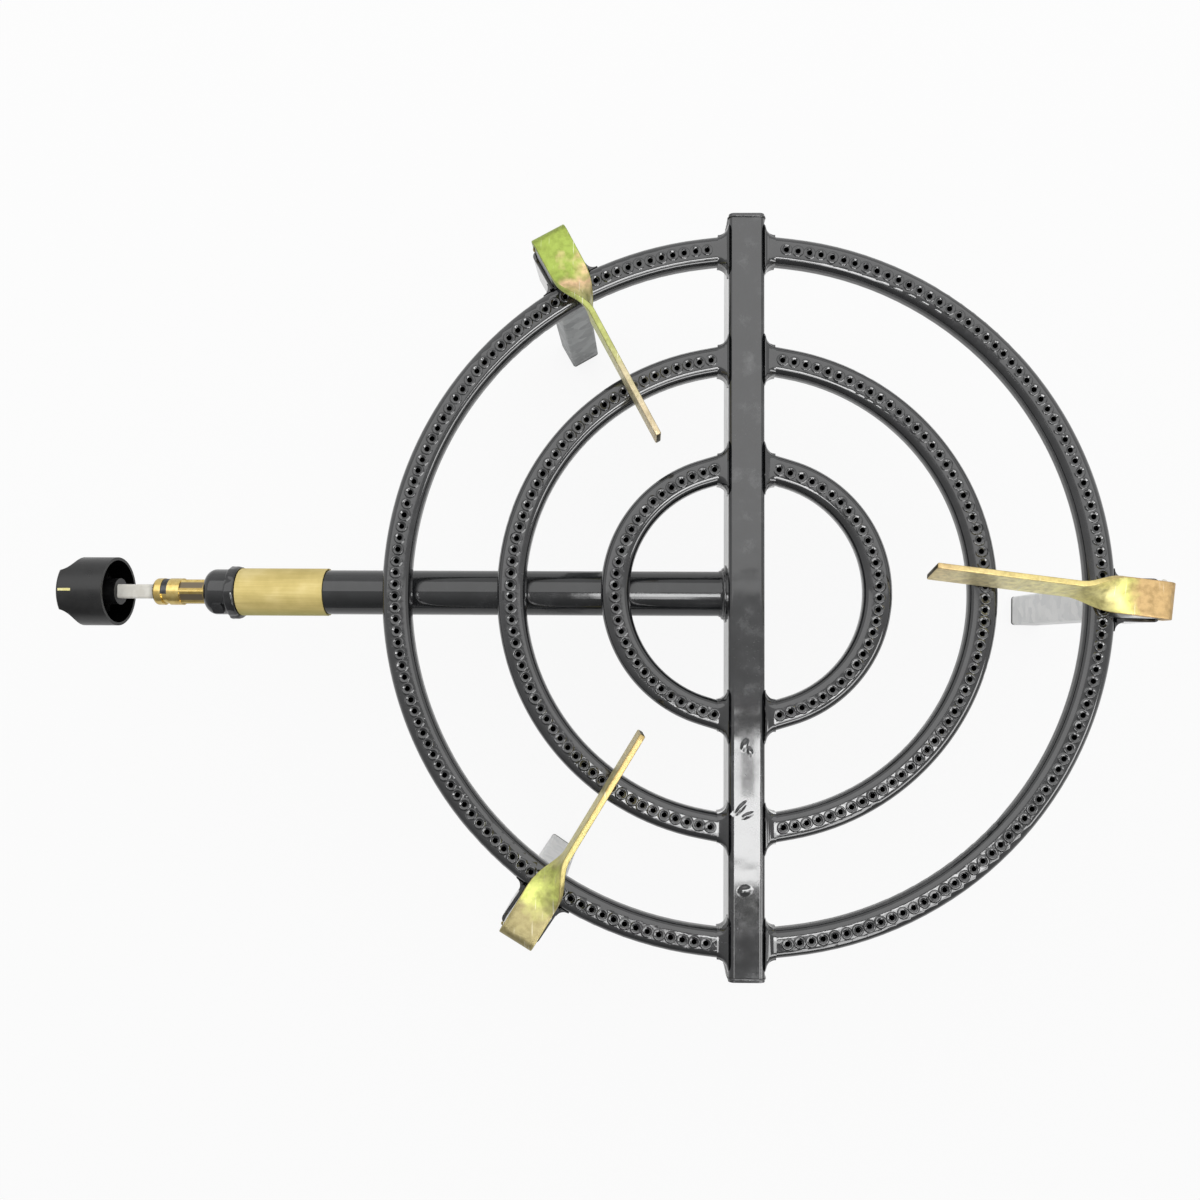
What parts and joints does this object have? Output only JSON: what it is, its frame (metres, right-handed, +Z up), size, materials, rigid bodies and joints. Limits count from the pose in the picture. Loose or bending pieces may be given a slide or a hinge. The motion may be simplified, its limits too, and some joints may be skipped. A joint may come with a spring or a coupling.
{
  "type": "paella burner",
  "caption": "Concentric ring gas burner with a cross manifold, side mixing tube with air sleeve and gas tap, on clamped tube legs with twisted pan supports.",
  "frame": {"origin": "on the floor, under the middle of the bounding box", "axes": "+Z up, +X from the control knob towards the rings, +Y along the manifold"},
  "size_m": [0.777, 0.5292, 0.2367],
  "materials": {
    "enamel": "glossy charcoal paint over welded steel tube",
    "yellow_zinc": "yellow passivated zinc plate, satin",
    "brass": "turned brass",
    "spring_steel": "dark oiled spring steel",
    "nylon": "white moulded nylon",
    "black_plastic": "satin black moulding",
    "pointer_paint": "yellow fill",
    "galvanised": "galvanised steel tube",
    "zinc_steel": "bright zinc plated screws"
  },
  "bodies": {
    "burner": {"manifold_tube": "enamel", "manifold_end_caps": "enamel", "outer_ring_left": "enamel", "outer_ring_right": "enamel", "middle_ring_left": "enamel", "middle_ring_right": "enamel", "inner_ring_left": "enamel", "inner_ring_right": "enamel", "inlet_tube": "enamel", "end_collar": "enamel", "leg_socket_right": "enamel", "leg_socket_back": "enamel", "leg_socket_front": "enamel", "gas_jet": "brass", "tap_body": "brass", "hose_tail": "brass", "tap_clip": "spring_steel", "clamp_screws": "zinc_steel", "clamp_nuts": "zinc_steel"},
    "air_shutter": {"air_sleeve": "yellow_zinc"},
    "tap_rotor": {"tap_plug": "brass", "tap_spring": "spring_steel"},
    "control_knob": {"spindle": "nylon", "knob": "black_plastic", "knob_pointer": "pointer_paint"},
    "leg_right": {"leg_tube_right": "galvanised", "foot_plug_right": "black_plastic", "pan_support_right": "yellow_zinc"},
    "leg_back": {"leg_tube_back": "galvanised", "foot_plug_back": "black_plastic", "pan_support_back": "yellow_zinc"},
    "leg_front": {"leg_tube_front": "galvanised", "foot_plug_front": "black_plastic", "pan_support_front": "yellow_zinc"}
  },
  "joints": [
    {"name": "air_slide", "type": "slide", "parent": "burner", "child": "air_shutter", "axis": [1, 0, 0], "range_m": [0, 0.035]},
    {"name": "tap_turn", "type": "hinge", "parent": "burner", "child": "tap_rotor", "pos_m": [-0.30353, 0, 0.173], "axis": [-1, 0, 0], "range_deg": [0, 180]},
    {"name": "knob_push", "type": "slide", "parent": "tap_rotor", "child": "control_knob", "axis": [1, 0, 0], "range_m": [0, 0.003], "stiffness_N_per_m": 1500, "springref_m": -0.002, "deforming": ["tap_spring"]},
    {"name": "leg_right_height", "type": "slide", "parent": "burner", "child": "leg_right", "axis": [0, 0, 1], "range_m": [-0.004, 0.1]},
    {"name": "leg_back_height", "type": "slide", "parent": "burner", "child": "leg_back", "axis": [0, 0, 1], "range_m": [-0.004, 0.1]},
    {"name": "leg_front_height", "type": "slide", "parent": "burner", "child": "leg_front", "axis": [0, 0, 1], "range_m": [-0.004, 0.1]}
  ]
}
